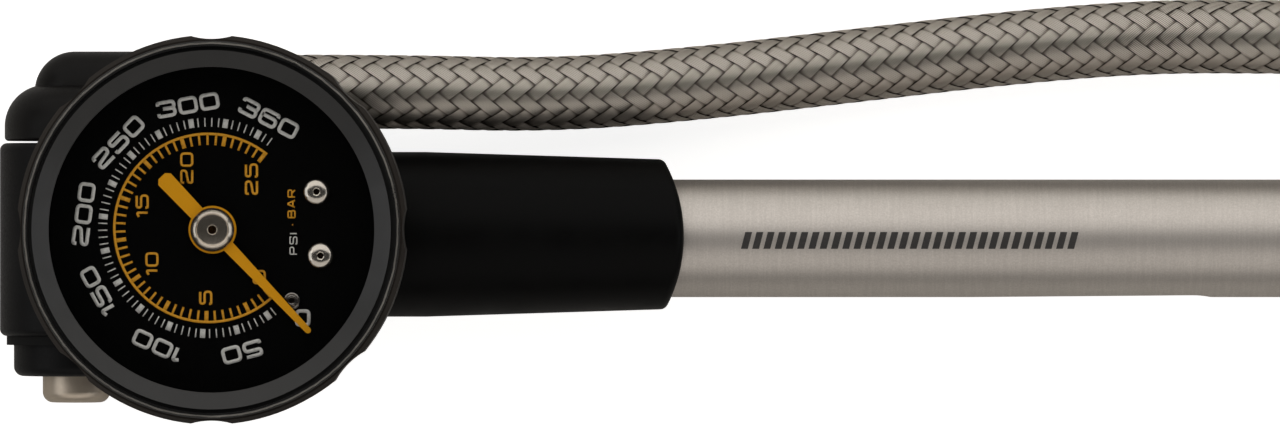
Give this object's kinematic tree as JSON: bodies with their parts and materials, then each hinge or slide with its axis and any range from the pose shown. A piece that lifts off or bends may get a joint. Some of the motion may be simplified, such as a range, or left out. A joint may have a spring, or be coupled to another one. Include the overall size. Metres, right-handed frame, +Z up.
{
  "type": "shock suspension pump",
  "caption": "Pocket high-pressure hand pump for suspension units: sliding handle tube, dial gauge in a rubber boot, bleed button and swivelling braided hose with a screw-on connector.",
  "frame": {"origin": "middle of the resting pad's flat underside, straight below the gauge's axis", "axes": "+X along the barrel towards the handle's end cap, +Y towards the hose elbow, +Z up through the gauge's face"},
  "size_m": [0.2151, 0.0555, 0.0346],
  "materials": {
    "black_nylon": "fine moulded texture, soft sheen",
    "grip_elastomer": "satin soft-touch sleeve",
    "anodised_barrel": "drawn tube, dark anodised",
    "seal_rubber": "moulded nitrile",
    "valve_brass": "turned",
    "spring_steel": "drawn wire",
    "guide_plastic": "machined acetal",
    "satin_aluminium": "bead blasted and clear anodised",
    "rod_steel": "ground",
    "elbow_black": "moulded, satin",
    "crimp_steel": "crimped",
    "steel_braid": "rubber hose with a herringbone steel braid",
    "nut_aluminium": "turned, fluted",
    "button_nickel": "turned, satin nickel",
    "case_enamel": "black enamel, worn bright at the rim",
    "boot_rubber": "moulded, satin",
    "clear_lens": "polished",
    "bezel_enamel": "satin grey-black enamel",
    "dial_enamel": "black enamel with printed scales",
    "screw_steel": "turned",
    "pointer_enamel": "amber enamel"
  },
  "bodies": {
    "head": {"head_body": "black_nylon", "grip_sleeve": "grip_elastomer", "barrel": "anodised_barrel", "barrel_seal": "seal_rubber", "check_valve_seat": "valve_brass", "check_spring": "spring_steel", "rod_guide": "guide_plastic", "rod_bumper": "seal_rubber", "swivel_post": "valve_brass", "swivel_seals": "seal_rubber", "swivel_retaining_ring": "spring_steel", "bleed_washer": "seal_rubber", "bleed_housing": "black_nylon", "bleed_seat": "valve_brass", "bleed_spring": "spring_steel", "gauge_seal": "seal_rubber", "gauge_socket": "valve_brass", "gauge_case": "case_enamel", "rubber_boot": "boot_rubber", "lens_gasket": "seal_rubber", "gauge_lens": "clear_lens", "bezel_ring": "bezel_enamel", "dial_plate": "dial_enamel", "dial_posts": "valve_brass", "dial_screws": "screw_steel", "zero_pin": "screw_steel", "bourdon_tube": "valve_brass", "bourdon_tip": "valve_brass", "movement_plate_lower": "valve_brass", "movement_plate_upper": "valve_brass", "movement_pillars": "valve_brass", "movement_screws": "screw_steel", "link_bar": "screw_steel", "hairspring": "spring_steel"},
    "handle": {"handle_tube": "satin_aluminium", "handle_bush": "guide_plastic", "handle_end_cap": "black_nylon", "cap_plug": "seal_rubber", "piston_rod": "rod_steel", "rod_nut": "rod_steel", "piston": "guide_plastic", "piston_seal": "seal_rubber"},
    "hose_line": {"swivel_elbow": "elbow_black", "hose_barb": "valve_brass", "hose_ferrule": "crimp_steel", "hose": "steel_braid", "connector_ferrule": "crimp_steel", "connector_body": "valve_brass", "connector_seal": "seal_rubber", "depressor_pin": "valve_brass"},
    "valve_nut": {"connector_nut": "nut_aluminium", "connector_circlip": "spring_steel"},
    "bleed_plunger": {"bleed_button": "button_nickel", "bleed_stem": "valve_brass", "bleed_seal": "seal_rubber"},
    "needle": {"pinion_arbor": "screw_steel", "pointer": "pointer_enamel", "pointer_hub": "screw_steel"},
    "sector": {"sector_gear": "valve_brass"},
    "poppet": {"check_poppet": "seal_rubber"}
  },
  "joints": [
    {"name": "handle_slide", "type": "slide", "parent": "head", "child": "handle", "axis": [1, 0, 0], "range_m": [0, 0.125]},
    {"name": "hose_swivel", "type": "hinge", "parent": "head", "child": "hose_line", "pos_m": [-0.0177, 0, 0.0103], "axis": [0, 1, 0], "range_deg": [0, 180]},
    {"name": "valve_nut_spin", "type": "hinge", "parent": "hose_line", "child": "valve_nut", "pos_m": [0.175, 0.0241, 0.0075], "axis": [1, 0, 0], "continuous": true},
    {"name": "bleed_press", "type": "slide", "parent": "head", "child": "bleed_plunger", "axis": [0, 1, 0], "range_m": [0, 0.002], "stiffness_N_per_m": 1200, "springref_m": -0.002, "deforming": ["bleed_spring"]},
    {"name": "check_lift", "type": "slide", "parent": "head", "child": "poppet", "axis": [-1, 0, 0], "range_m": [0, 0.0015], "stiffness_N_per_m": 200, "springref_m": -0.001, "deforming": ["check_spring"]},
    {"name": "sector_turn", "type": "hinge", "parent": "head", "child": "sector", "pos_m": [-0.00921, -0.00335, 0.025], "axis": [0, 0, 1], "range_deg": [0, 42.8], "stiffness_Nm_per_rad": 0.004, "springref_deg": -8.59},
    {"name": "pointer_spin", "type": "hinge", "parent": "head", "child": "needle", "pos_m": [0, 0, 0.0294], "axis": [0, 0, 1], "range_deg": [-257, 0]}
  ],
  "couplings": [
    {"joint": "pointer_spin", "follows": "sector_turn", "ratio": -6}
  ]
}
